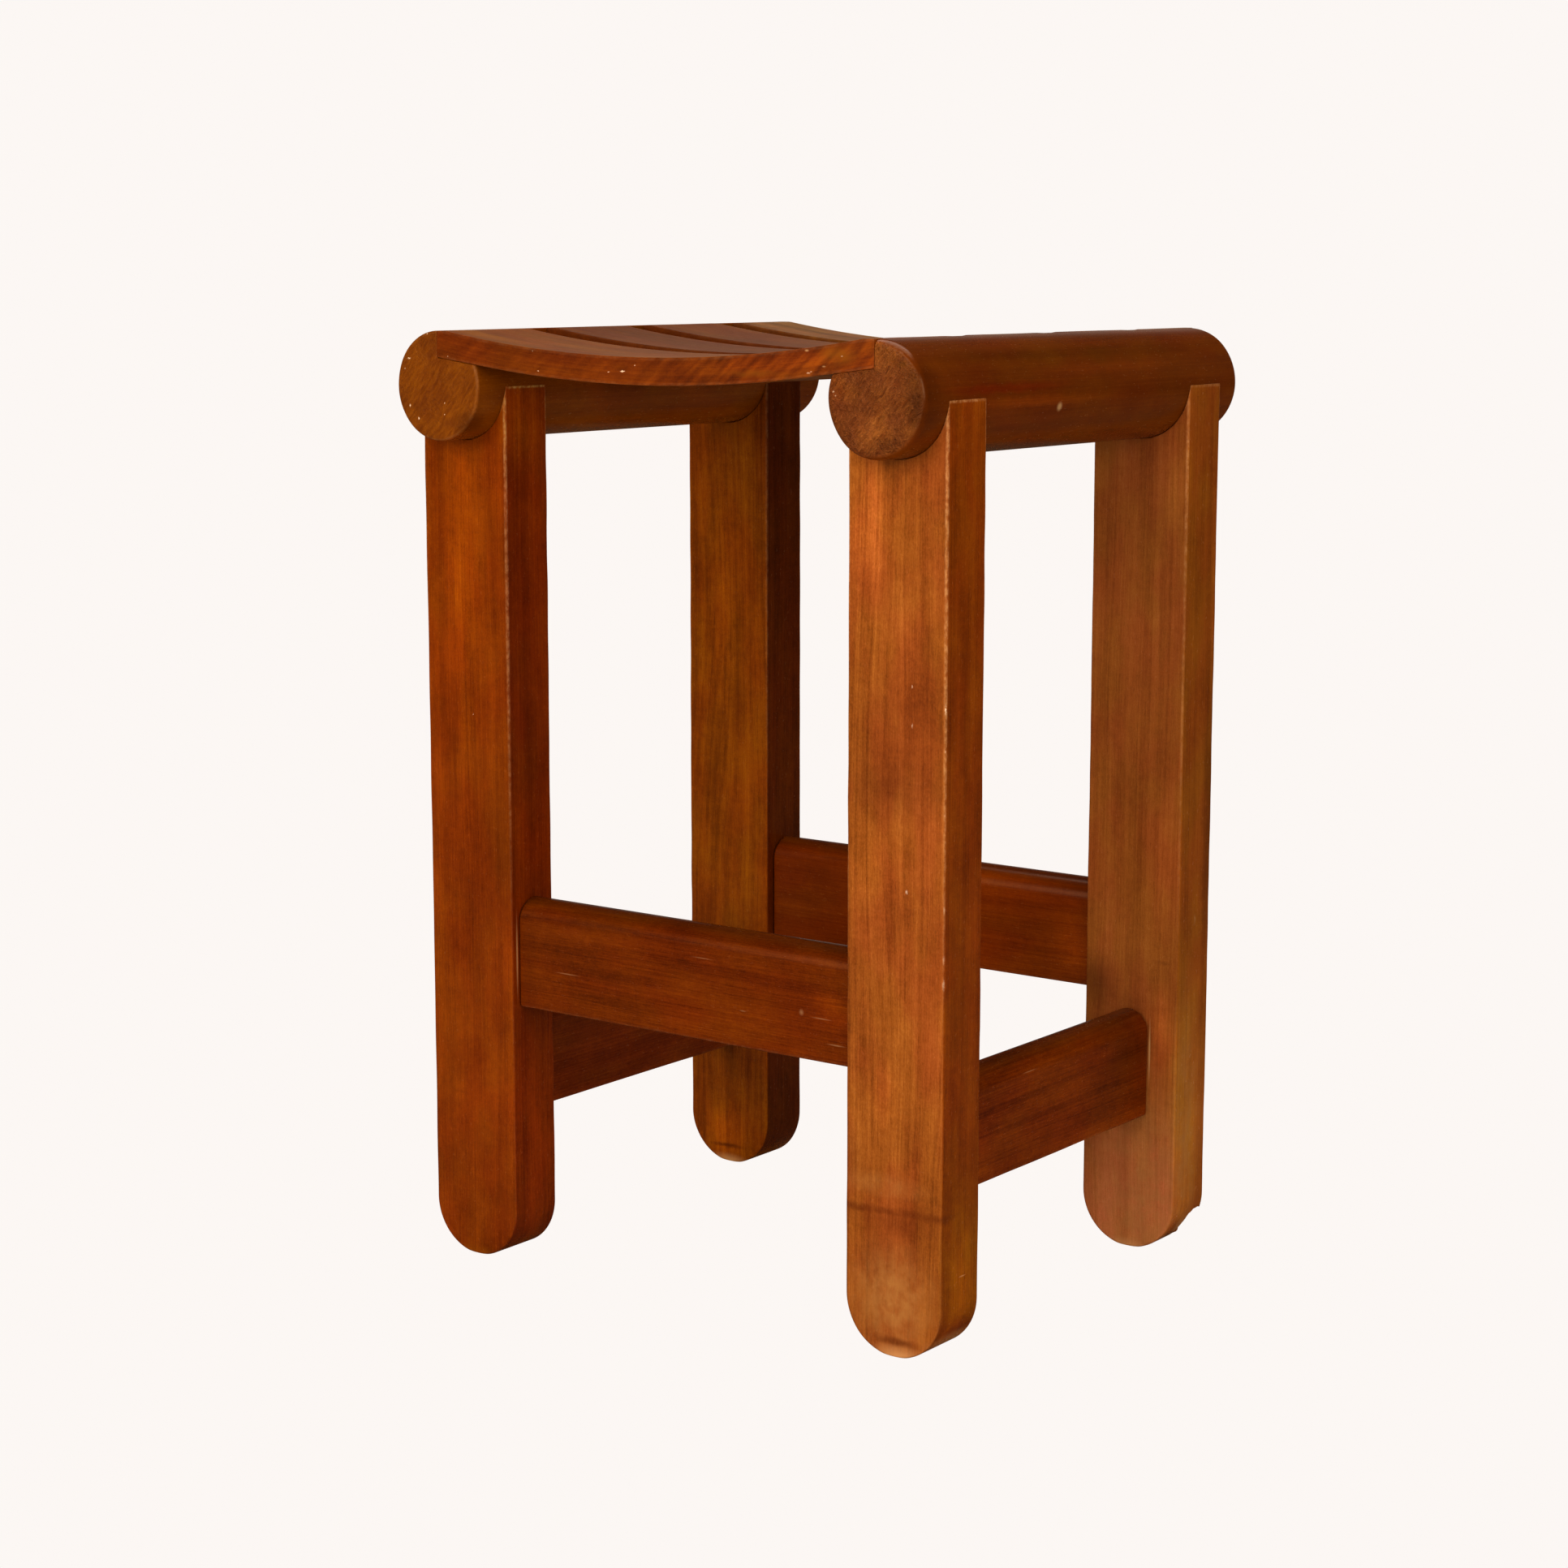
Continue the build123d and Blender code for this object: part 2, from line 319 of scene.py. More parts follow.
# Teak
GRAIN_AXES = {"X": (1, 0, 0), "Y": (0, 1, 0), "Z": (0, 0, 1)}
GRAIN_TURNS = {"X": (0, math.pi / 2, 0), "Y": (math.pi / 2, 0, 0), "Z": (0, 0, 0)}
NOISE_SHIFTS = {    # of the first piece of each kind, and from one piece to the next
    "leg": (0.31, 0.31),
    "log": (1.7, 1.0),
    "slat": (3.1, 0.9),
    "rail": (7.3, 1.1),
}
SHIFT_WAY = (1.0, 0.7, 1.3)
NOISES = {          # size across and along the grain in mm, detail and roughness
    "drift": (60, 380, 1.0, 0.5),
    "sway": (12, 120, 2.0, 0.5),
    "streak": (0.9, 70, 2.0, 0.6),
    "fibre": (0.5, 9, 2.0, 0.6),
    "speck": (0.9, 1.3, 2.0, 0.6),
    "band": (9, 260, 2.0, 0.5),
    "wave": (7, 4.5, 3.0, 0.6),
    "mottle": (12, 26, 4.0, 0.6),
    "flame": (34, 70, 2.0, 0.5),
    "lick": (4.6, 24, 2.0, 0.45),
    "hue": (24, 60, 3.0, 0.5),
    "pore": (0.36, 4.5, 1.0, 0.5),
    "stroke": (2.4, 2.4, 3.0, 0.6),
    "blur": (2.6, 2.6, 3.0, 0.65),
    "blurred": (16, 16, 1.0, 0.5),
    "patch": (20, 20, 2.0, 0.5),
    "rough": (3, 5, 3.0, 0.7),
    "broken": (9, 12, 4.0, 0.6),
    "wobble": (9, 9, 2.0, 0.5),
    "ragged": (1.3, 1.3, 2.0, 0.5),
}

# Growth rings
RING_WIDTH = 2.2 * MM
DRIFT_REACH = (16 * MM, 16 * MM, 0)     # how far the log's growth wandered, slowly and faster
SWAY_REACH = (2.2 * MM, 2.2 * MM, 0)
LEAN_YEARS = (0.31, 3.0)    # pace at which the rings' widths change, and by how many years they shift
LEAN_NOISE = (2.0, 0.5)     # detail and roughness
YEAR_NOISE = (4.0, 0.8)
LATE_START = (0.30, 0.88)   # parts of the year in which the late wood comes and goes
LATE_END = (1.0, 0.92)

# Colours along the grain, with gains over the wood's tone
LIGHT_WEIGHTS = {   # how much each pattern lightens and darkens the wood
    "year": 0.30,
    "streak": 0.26,
    "fibre": 0.38,
    "speck": 0.34,
    "band": 0.42,
    "wave": 0.20,
    "mottle": 0.26,
    "flame": 0.48,
}
LATE_WEIGHT = -0.05
WOOD_GAINS = (
    (0.08, (0.42, 0.34, 0.22)),
    (0.36, (0.80, 0.74, 0.62)),
    (0.56, (1.08, 1.10, 1.05)),
    (0.86, (1.50, 1.75, 2.10)),
)
HUE_RANGE = (0.34, 0.66)
REDDER = (0.98, 0.87, 1.0, 1)
YELLOWER = (1.0, 1.07, 1.0, 1)
PORE_RANGE = (0.60, 0.72)
PORE_SHARE = 0.25
PORE_GAINS = (0.30, 0.24, 0.2)
# How squarely a face must look along an axis to take the tint that paints its shade and sheen
FACING_SHADE_AND_SHEEN_RANGE = (0.55, 0.9)
LICK_SLANT = 0.60           # slant of the flames on the front slat, in radians
LICK_FADE = (0.06, -0.10, 0.35, 1.0)    # places along the slat, and strengths there
UPRIGHT_RANGE = (0.9, 0.5)

# Sawn ends
END_RANGE = (0.6, 0.95)
SAW_TURN = -0.70            # slant of the saw strokes, in radians
SAW_STRETCH = (1.0, 0.22, 0.05)
SAW_SWAY = (0.005, 0.005, 0.0)
BLUR_RANGE = (0.42, 0.66, 0.0, 0.8)
RING_SHARE = 0.25
EARLY_GAINS = (1.10, 1.10, 1.10)
LATE_GAINS = (0.72, 0.66, 0.60)
STROKE_SHARE = 0.75
STROKE_RANGE = (0.28, 0.76)
STROKE_DARK_GAINS = (0.86, 0.79, 1.1)
STROKE_PALE_GAINS = (1.50, 1.78, 3.0)
PATCH_RANGE = (0.32, 0.68)
PATCH_DARK = (0.86, 0.80, 1.0, 1)
PATCH_PALE = (1.14, 1.18, 1.1, 1)

# Wear, marks, and painted light and shade
EDGE_RANGE = (0.08, 0.55)
EDGE_BREAKS = (0.36, 0.66, 0.20, 1.0)
RUBBED_AND_HIGHLIGHT_GAIN = 1.2
RUBBED_AND_HIGHLIGHT = (0.24, 0.20, 0.10)     # bare wood that shows through at rubbed edges and rub marks; on the edges it also paints their highlight
RUBBED_AND_HIGHLIT_EDGE = 0.1               # how pale the edges are on a plain piece: wear and a painted highlight
MARK_WOBBLE = (4 * MM,) * 3     # unevenness of the outlines of scuffs, stains and tints
CHIP_WOBBLE = (1.5 * MM,) * 3
SCUFF_BREAKS = (0.30, 0.66, 0.35, 1.0)
SCUFF_GAINS = (1.40, 2.15, 3.8)
STAIN_AND_SHADE_BREAKS = (0.2, 0.7, 0.7, 1.0)
STAIN_AND_SHADE_GAINS = (0.40, 0.27, 0.2)
CHIP_GAIN = 2.0
CHIPPED = (0.80, 0.56, 0.36, 1)
# Tints that marks lay over the wood. Red and olive are patches of the wood's own colour. The darkening
# tint is darker wood and also painted shade and painted shadow. The lightening tint is paler wood and
# also painted highlights and pools of light. The grey-beige tint is dust with a painted sheen.
TINTS = {
    "red": (1.15, 0.72, 0.60),
    "dust_and_painted_sheen": (1.25, 1.28, 2.45),
    "olive": (0.95, 1.30, 0.80),
    "dim": (0.50, 0.47, 0.42),
    "pale_tone_and_painted_light": (1.60, 1.70, 1.90),
}

# Varnish
GLOSS = 0.25
FIBRE_MATT = 0.06
ROUGH_MATT = 0.14
END_MATT = 0.12
CHIP_MATT = 0.25
STREAK_HEIGHT = 0.5
PORE_HEIGHT = -0.2
CHIP_HEIGHT = -2.5
STROKE_HEIGHT = 2.0
RELIEF = 0.10
RELIEF_DEPTH = 0.08 * MM
VARNISH_IOR = 1.33
SHEEN_TINT = (1.0, 0.72, 0.42, 1)   # old varnish mirrors warm light


class Wood(Graph):
    """The nodes of one teak material, with places and patterns that follow its grain.

    The pith is its place across the grain, in metres, and bow is how the grain curves along the
    piece. The shift gives each piece noises of its own.
    """

    def __init__(self, tree, grain, pith, bow, shift, ring):
        super().__init__(tree)
        coords = self.node("TexCoord")
        self.place = coords.outputs["Object"]
        self.normal = coords.outputs["Normal"]
        self.patterns = {}
        across, up = pith
        offset = {"X": (-up, -across, 0), "Y": (-across, up, 0), "Z": (-across, -up, 0)}[grain]
        turned = self.node(
            "Mapping", {"Vector": self.place, "Rotation": GRAIN_TURNS[grain], "Location": offset},
        ).outputs[0]
        self.along = self.node("SeparateXYZ", {0: turned}).outputs["Z"]
        sag = self.math("MULTIPLY", self.math("MULTIPLY", self.along, self.along), -bow)
        self.where = self.vector("ADD", turned, self.node("CombineXYZ", {"X": sag}).outputs[0])
        self.own = self.vector("ADD", self.where, [shift * part for part in SHIFT_WAY])
        self.sway = self.wander("sway")
        self.late = self.growth(ring)
        self.pore = self.between(self.pattern("pore"), *PORE_RANGE)
        self.end = self.between(self.facing(GRAIN_AXES[grain]), *END_RANGE)
        self.stroke = self.saw_strokes()

    def noise(self, where, kind, output="Fac"):
        """Noise with features of real sizes, drawn out along the grain."""
        across, along, detail, roughness = NOISES[kind]
        scaled = self.vector("MULTIPLY", where, [1 / size for size in metres((across, across, along))])
        sockets = {"Vector": scaled, "Scale": 1.0, "Detail": detail, "Roughness": roughness}
        return self.node("TexNoise", sockets).outputs[output]

    def noise_in_line(self, place, detail, roughness):
        sockets = {"W": place, "Scale": 1.0, "Detail": detail, "Roughness": roughness}
        return self.node("TexNoise", sockets, noise_dimensions="1D").outputs["Fac"]

    def pattern(self, kind):
        """The piece's own noise of one kind, which is made once."""
        if kind not in self.patterns:
            self.patterns[kind] = self.noise(self.own, kind)
        return self.patterns[kind]

    def wander(self, kind):
        """A way that changes from place to place, up to about half a unit long on each axis."""
        return self.vector("SUBTRACT", self.noise(self.own, kind, "Color"), (0.5, 0.5, 0.5))

    def facing(self, axis):
        """How much the surface looks along an axis, either way."""
        return self.math("ABSOLUTE", self.vector("DOT_PRODUCT", self.normal, axis))

    def growth(self, ring):
        """Late wood of the growth rings about the pith. It also makes the years' own tones."""
        bent = self.moved(self.where, self.wander("drift"), DRIFT_REACH)
        bent = self.moved(bent, self.sway, SWAY_REACH)
        radius = self.vector("LENGTH", self.vector("MULTIPLY", bent, (1, 1, 0)))
        years = self.math("DIVIDE", radius, ring)
        pace, reach = LEAN_YEARS
        lean = self.noise_in_line(self.math("MULTIPLY", years, pace), *LEAN_NOISE)
        season = self.math("FRACT", self.math("MULTIPLY_ADD", lean, reach, years))
        self.patterns["year"] = self.noise_in_line(years, *YEAR_NOISE)
        return self.math("MULTIPLY", self.between(season, *LATE_START), self.between(season, *LATE_END))

    def saw_strokes(self):
        """Strokes that the saw left on the ends, blurred in places."""
        swayed = self.moved(self.own, self.sway, SAW_SWAY)
        sawn = self.node("Mapping", {"Vector": swayed, "Rotation": (0, 0, SAW_TURN)}).outputs[0]
        stroke = self.noise(self.vector("MULTIPLY", sawn, SAW_STRETCH), "stroke")
        blurred = self.between(self.pattern("blurred"), *BLUR_RANGE)
        change = self.math("SUBTRACT", self.pattern("blur"), stroke)
        return self.math("MULTIPLY_ADD", change, blurred, stroke)

    def licks(self):
        """Slanting flames on the upright faces, weaker towards one end."""
        slant = self.node("Mapping", {"Vector": self.own, "Rotation": (0, LICK_SLANT, 0)}).outputs[0]
        upright = self.between(self.facing(GRAIN_AXES["Z"]), *UPRIGHT_RANGE)
        strength = self.math("MULTIPLY", self.between(self.along, *LICK_FADE), upright)
        return self.math("MULTIPLY", self.centred(self.noise(slant, "lick")), strength)

    def marked(self, kind, place, marks):
        """Share of one kind of mark at a place."""
        total = 0.0
        for each, centre, size, strength in marks:
            if each == kind:
                away = self.vector("SUBTRACT", place, metres(centre))
                away = self.vector("LENGTH", self.vector("DIVIDE", away, metres(size)))
                share = self.between(away, 1.0, 0.0, 0.0, strength)
                total = self.math("MAXIMUM", total, share)
        return total


def shade(tone, gains):
    """A colour made from a tone by a gain for each channel."""
    return (*(min(1.0, part * gain) for part, gain in zip(tone, gains)), 1.0)


def side_colour(g, tone, figure, licks):
    """Colour along the grain: light and dark wood, redder and yellower patches, and dark pores."""
    parts = [(g.centred(g.pattern(kind)), weight) for kind, weight in LIGHT_WEIGHTS.items()]
    if licks:
        parts.append((g.licks(), licks))
    parts.append((g.late, LATE_WEIGHT))
    level = g.add_up(0.5, [(part, weight * figure) for part, weight in parts])
    colour = g.ramp(level, [(place, shade(tone, gains)) for place, gains in WOOD_GAINS])
    hue = g.between(g.pattern("hue"), *HUE_RANGE)
    colour = g.tinted(colour, g.mix(hue, REDDER, YELLOWER))
    return g.mix(g.math("MULTIPLY", g.pore, PORE_SHARE), colour, shade(tone, PORE_GAINS))


def with_ends(g, colour, tone):
    """The colour with faint rings and the strokes of the saw on the end grain."""
    rings = g.mix(g.late, shade(tone, EARLY_GAINS), shade(tone, LATE_GAINS))
    stroke = g.between(g.stroke, *STROKE_RANGE)
    cut = g.mix(stroke, shade(tone, STROKE_DARK_GAINS), shade(tone, STROKE_PALE_GAINS))
    patch = g.between(g.pattern("patch"), *PATCH_RANGE)
    cut = g.tinted(cut, g.mix(patch, PATCH_DARK, PATCH_PALE))
    colour = g.mix(g.math("MULTIPLY", g.end, RING_SHARE), colour, rings)
    return g.mix(g.math("MULTIPLY", g.end, STROKE_SHARE), colour, cut)


def with_wear(g, colour, tone, edge, marks):
    """The colour with pale edges from wear and a painted highlight, marks of use, painted shade,
    highlights and sheen, and the share of the chips in it.
    """
    # Pale edges: varnish worn thin, and a painted highlight along the arrises.
    rubbed_and_highlight = (*(RUBBED_AND_HIGHLIGHT_GAIN * part + extra for part, extra in zip(tone, RUBBED_AND_HIGHLIGHT)), 1)
    near_edge = g.node("Attribute", attribute_name="edge").outputs["Fac"]
    unbroken = g.between(g.pattern("rough"), *EDGE_BREAKS)
    wear_and_highlight = g.math("MULTIPLY", g.between(near_edge, *EDGE_RANGE), unbroken)
    colour = g.mix(g.math("MULTIPLY", wear_and_highlight, edge), colour, rubbed_and_highlight)
    loose = g.moved(g.place, g.wander("wobble"), MARK_WOBBLE)
    # Tints: patches of the wood's own colour, and painted shade, highlights and sheen.
    for kind, tint in TINTS.items():
        colour = g.mix(g.marked(kind, loose, marks), colour, g.tinted(colour, (*tint, 1)))
    unbroken = g.between(g.pattern("broken"), *SCUFF_BREAKS)
    scuff = g.math("MULTIPLY", g.marked("scuff", loose, marks), unbroken, clamp=True)
    colour = g.mix(scuff, colour, shade(tone, SCUFF_GAINS))
    colour = g.mix(g.math("MINIMUM", g.marked("rub", g.place, marks), 1.0), colour, rubbed_and_highlight)
    # Darker marks: real stains, and painted shade in the slats' gaps and beside a rail's joint.
    unbroken = g.between(g.pattern("rough"), *STAIN_AND_SHADE_BREAKS)
    stain_and_painted_shade = g.math("MULTIPLY", g.marked("stain_and_painted_shade", loose, marks), unbroken)
    colour = g.mix(stain_and_painted_shade, colour, shade(tone, STAIN_AND_SHADE_GAINS))
    ragged = g.moved(g.place, g.wander("ragged"), CHIP_WOBBLE)
    chipped = g.math("MULTIPLY", g.marked("chip", ragged, marks), CHIP_GAIN, clamp=True)
    return g.mix(chipped, colour, CHIPPED), chipped


def varnish(g, shader, chipped, gloss, end_relief):
    """Satin varnish that follows the fibres a little, over rougher ends and chips."""
    fibre = g.pattern("fibre")
    rough = g.pattern("rough")
    matt = g.add_up(gloss, (
        (g.centred(fibre), FIBRE_MATT),
        (g.centred(rough), ROUGH_MATT),
        (g.end, END_MATT),
        (chipped, CHIP_MATT),
    ))
    g.put(shader.inputs["Roughness"], matt)
    height = g.add_up(fibre, (
        (g.pattern("streak"), STREAK_HEIGHT),
        (g.pore, PORE_HEIGHT),
        (chipped, CHIP_HEIGHT),
    ))
    bump = g.node("Bump", {"Height": height, "Strength": RELIEF, "Distance": RELIEF_DEPTH})
    if end_relief:
        relief = g.math("MULTIPLY_ADD", g.stroke, STROKE_HEIGHT, rough)
        bump = g.node("Bump", {
            "Height": relief, "Strength": g.end, "Distance": end_relief, "Normal": bump.outputs["Normal"],
        })
    g.put(shader.inputs["Normal"], bump.outputs["Normal"])
    shader.inputs["IOR"].default_value = VARNISH_IOR
    shader.inputs["Specular Tint"].default_value = SHEEN_TINT


def teak(
    name, grain, pith, kind=None, number=0, ring=RING_WIDTH, figure=1.0, bow=0.0, licks=0.0,
    edge=RUBBED_AND_HIGHLIT_EDGE, end_relief=0.0, end_tint=(1, 1, 1), facing_shade_and_sheen=None, marks=(), gloss=GLOSS,
):
    """Varnished teak: growth rings about a pith, fibres along the grain, pores, mottle and wear.

    The piece's kind and number give it noises of its own. Figure is the strength of its light and
    dark patterns, licks that of slanting flames, and edge how pale its edges are, from wear and a
    painted highlight. A facing tint is an axis and the tint of the faces that look along it, which
    paints the shade on the legs' sides and the sheen on the slats' and rails' tops. A mark is a chip
    down to pale wood, a broken scuff, a pale rub line, a dark mark (real stains, and painted shade in
    the slats' gaps and beside a joint) or a tint: patches of the wood's own colour, and painted
    shade, highlights and sheen.
    """
    first, step = NOISE_SHIFTS.get(kind, (0.0, 0.0))
    tone = TONES[name]
    material = bpy.data.materials.new(f"teak_{name}")
    material.use_nodes = True
    g = Wood(material.node_tree, grain, pith, bow, first + step * number, ring)
    colour = side_colour(g, tone, figure, licks)
    # Tint of the faces that look along an axis: painted shade on the legs' sides, painted sheen on the
    # slats' and rails' tops, each with some of the wood's own tone.
    if facing_shade_and_sheen:
        axis, tint = facing_shade_and_sheen
        seen = g.between(g.facing(axis), *FACING_SHADE_AND_SHEEN_RANGE)
        colour = g.mix(seen, colour, g.tinted(colour, (*tint, 1)))
    end_tone = [part * gain for part, gain in zip(tone, end_tint)]
    colour = with_ends(g, colour, end_tone)
    colour, chipped = with_wear(g, colour, tone, edge, marks)
    shader = g.tree.nodes["Principled BSDF"]
    g.put(shader.inputs["Base Color"], colour)
    varnish(g, shader, chipped, gloss, end_relief)
    return material


# Tones, as linear light. Each piece was cut from a different board.
TONES = {
    "front_right_leg": (0.326, 0.091, 0.0130),
    "front_left_leg": (0.228, 0.043, 0.0004),
    "back_right_leg": (0.280, 0.084, 0.0140),
    "back_left_leg": (0.262, 0.065, 0.0005),
    "left_log": (0.215, 0.052, 0.0006),
    "right_log": (0.158, 0.033, 0.0008),
    "front_rail": (0.160, 0.027, 0.0003),
    "back_rail": (0.172, 0.029, 0.0003),
    "left_side_rail": (0.200, 0.032, 0.0005),
    "right_side_rail": (0.205, 0.034, 0.0002),
    "seat_slat_1": (0.178, 0.034, 0.0006),
    "seat_slat_2": (0.215, 0.052, 0.0030),
    "seat_slat_3": (0.215, 0.052, 0.0030),
    "seat_slat_4": (0.240, 0.080, 0.0100),
    "dowels": (0.40, 0.16, 0.05),
}


# Legs
HORN_LENGTH = 24 * MM       # how far down from its tip a cradle's rim is pale: wear and a painted highlight
WEAR_AND_HIGHLIGHT_FADE = (0.22, 0.60)    # heights between which the legs' edges grow paler: wear, and a painted highlight stronger towards the top
LEAST_WEAR_AND_HIGHLIGHT = 0.25           # paleness of the edges at the lower height
LEG_STEPS = (1.9 * MM, 3.0 * MM, 5.0 * MM)      # the grid's widest steps along X, Y and Z
HORN_REACH = 0.9 * MM       # how far its finest zone goes into the thin horns of a cradle
HORN_STEP = 0.22 * MM
FOOT_STEP = 1.4 * MM
CRADLE_STEP = 1.2 * MM


def leg_form(node, ripple, arris, bites):
    """A leg with its half-round foot, its cradle, and the pieces broken out of it."""
    low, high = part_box(node)
    middle = (low + high) / 2
    half_width = (high.x - low.x) / 2
    half_depth = (high.y - low.y) / 2
    foot_centre = math.sqrt(half_width**2 - (FOOT_FLAT_WIDTH / 2) ** 2)
    log_low, log_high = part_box("right_log")
    cradle = (log_high.x - log_low.x) / 2 + CRADLE_GAP

    def form(place):
        x, y, z = place
        across = x - middle.x
        below = np.minimum(z - foot_centre, 0.0)
        outline = np.hypot(across, below) - half_width
        flank = np.abs(y - middle.y) - half_depth
        hollow = cradle - np.hypot(across, z - high.z)
        rounding = LEG_ARRIS * (1.0 + ARRIS_WANDER * arris(place))
        field = planed(meet(rounding, outline, flank), ripple, place)
        field = meet(FOOT_ARRIS, field, low.z - z)
        field = meet(SHARP, field, hollow, z - high.z)
        for centre, size in bites:
            field = bite(field, place, centre, size)
        # Paleness of the edges: wear, and a painted highlight that grows towards the top of the leg.
        rim = edge_share(WEAR_AND_HIGHLIGHT_REACH, flank, hollow) * np.clip(1.0 - (high.z - z) / HORN_LENGTH, 0.0, 1.0)
        wear_and_highlight = np.maximum(edge_share(WEAR_AND_HIGHLIGHT_REACH, outline, flank), rim)
        wear_and_highlight = np.maximum(wear_and_highlight, edge_share(WEAR_AND_HIGHLIGHT_REACH, np.maximum(outline, flank), z - high.z))
        rise = (z - WEAR_AND_HIGHLIGHT_FADE[0]) / (WEAR_AND_HIGHLIGHT_FADE[1] - WEAR_AND_HIGHLIGHT_FADE[0])
        return field, wear_and_highlight * np.clip(LEAST_WEAR_AND_HIGHLIGHT + rise, LEAST_WEAR_AND_HIGHLIGHT, 1.0)

    return form


def leg_axes(node, bites):
    low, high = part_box(node)
    foot_top = (high.x - low.x) / 2
    rounds = [(low.z, low.z + foot_top, FOOT_STEP), (high.z - foot_top, high.z, CRADLE_STEP)]
    zones = [
        both_ends(low.x, high.x, HORN_REACH, HORN_STEP),
        both_ends(low.y, high.y, LEG_ARRIS + ARRIS_MARGIN, EDGE_STEP),
        both_ends(low.z, high.z, FOOT_ARRIS, EDGE_STEP) + rounds,
    ]
    for centre, size in bites:
        step = min(min(size) / 2, BREAK_STEP)
        for zone, middle, reach in zip(zones, centre, size):
            zone.append((middle - reach, middle + reach, step))
    return grid_axes(node, LEG_STEPS, zones)


LEG_LOOKS = {       # strength of the figure, paleness of the arrises (wear and painted highlight), tint of the side faces (painted shade, with some of their own tone), and pith
    "front_left_leg": (1.15, 0.42, (0.85, 0.64, 0.60), (-0.05, 0.02)),
    "front_right_leg": (1.15, 0.64, (0.80, 0.60, 0.10), (0.33, 0.06)),
    "back_left_leg": (1.30, 0.15, (0.42, 0.29, 0.32), (-0.30, 0.42)),
    "back_right_leg": (0.85, 0.30, (1.04, 0.98, 0.45), (0.02, 0.34)),
}
LEG_BITES = {       # pieces broken out of the legs: centre and size in mm
    "front_right_leg": [
        ((218, -168, 425.5), (1.4, 1.4, 3)),
        ((218.2, -168.2, 297), (1.8, 1.8, 3.4)),
        ((218.2, -168.2, 266.5), (1.8, 1.8, 4)),
        ((218.2, -168.2, 250), (2.1, 2.1, 4.2)),
    ],
    "back_right_leg": [((218.4, 162, 3), (21.5, 19, 23.5))],
}
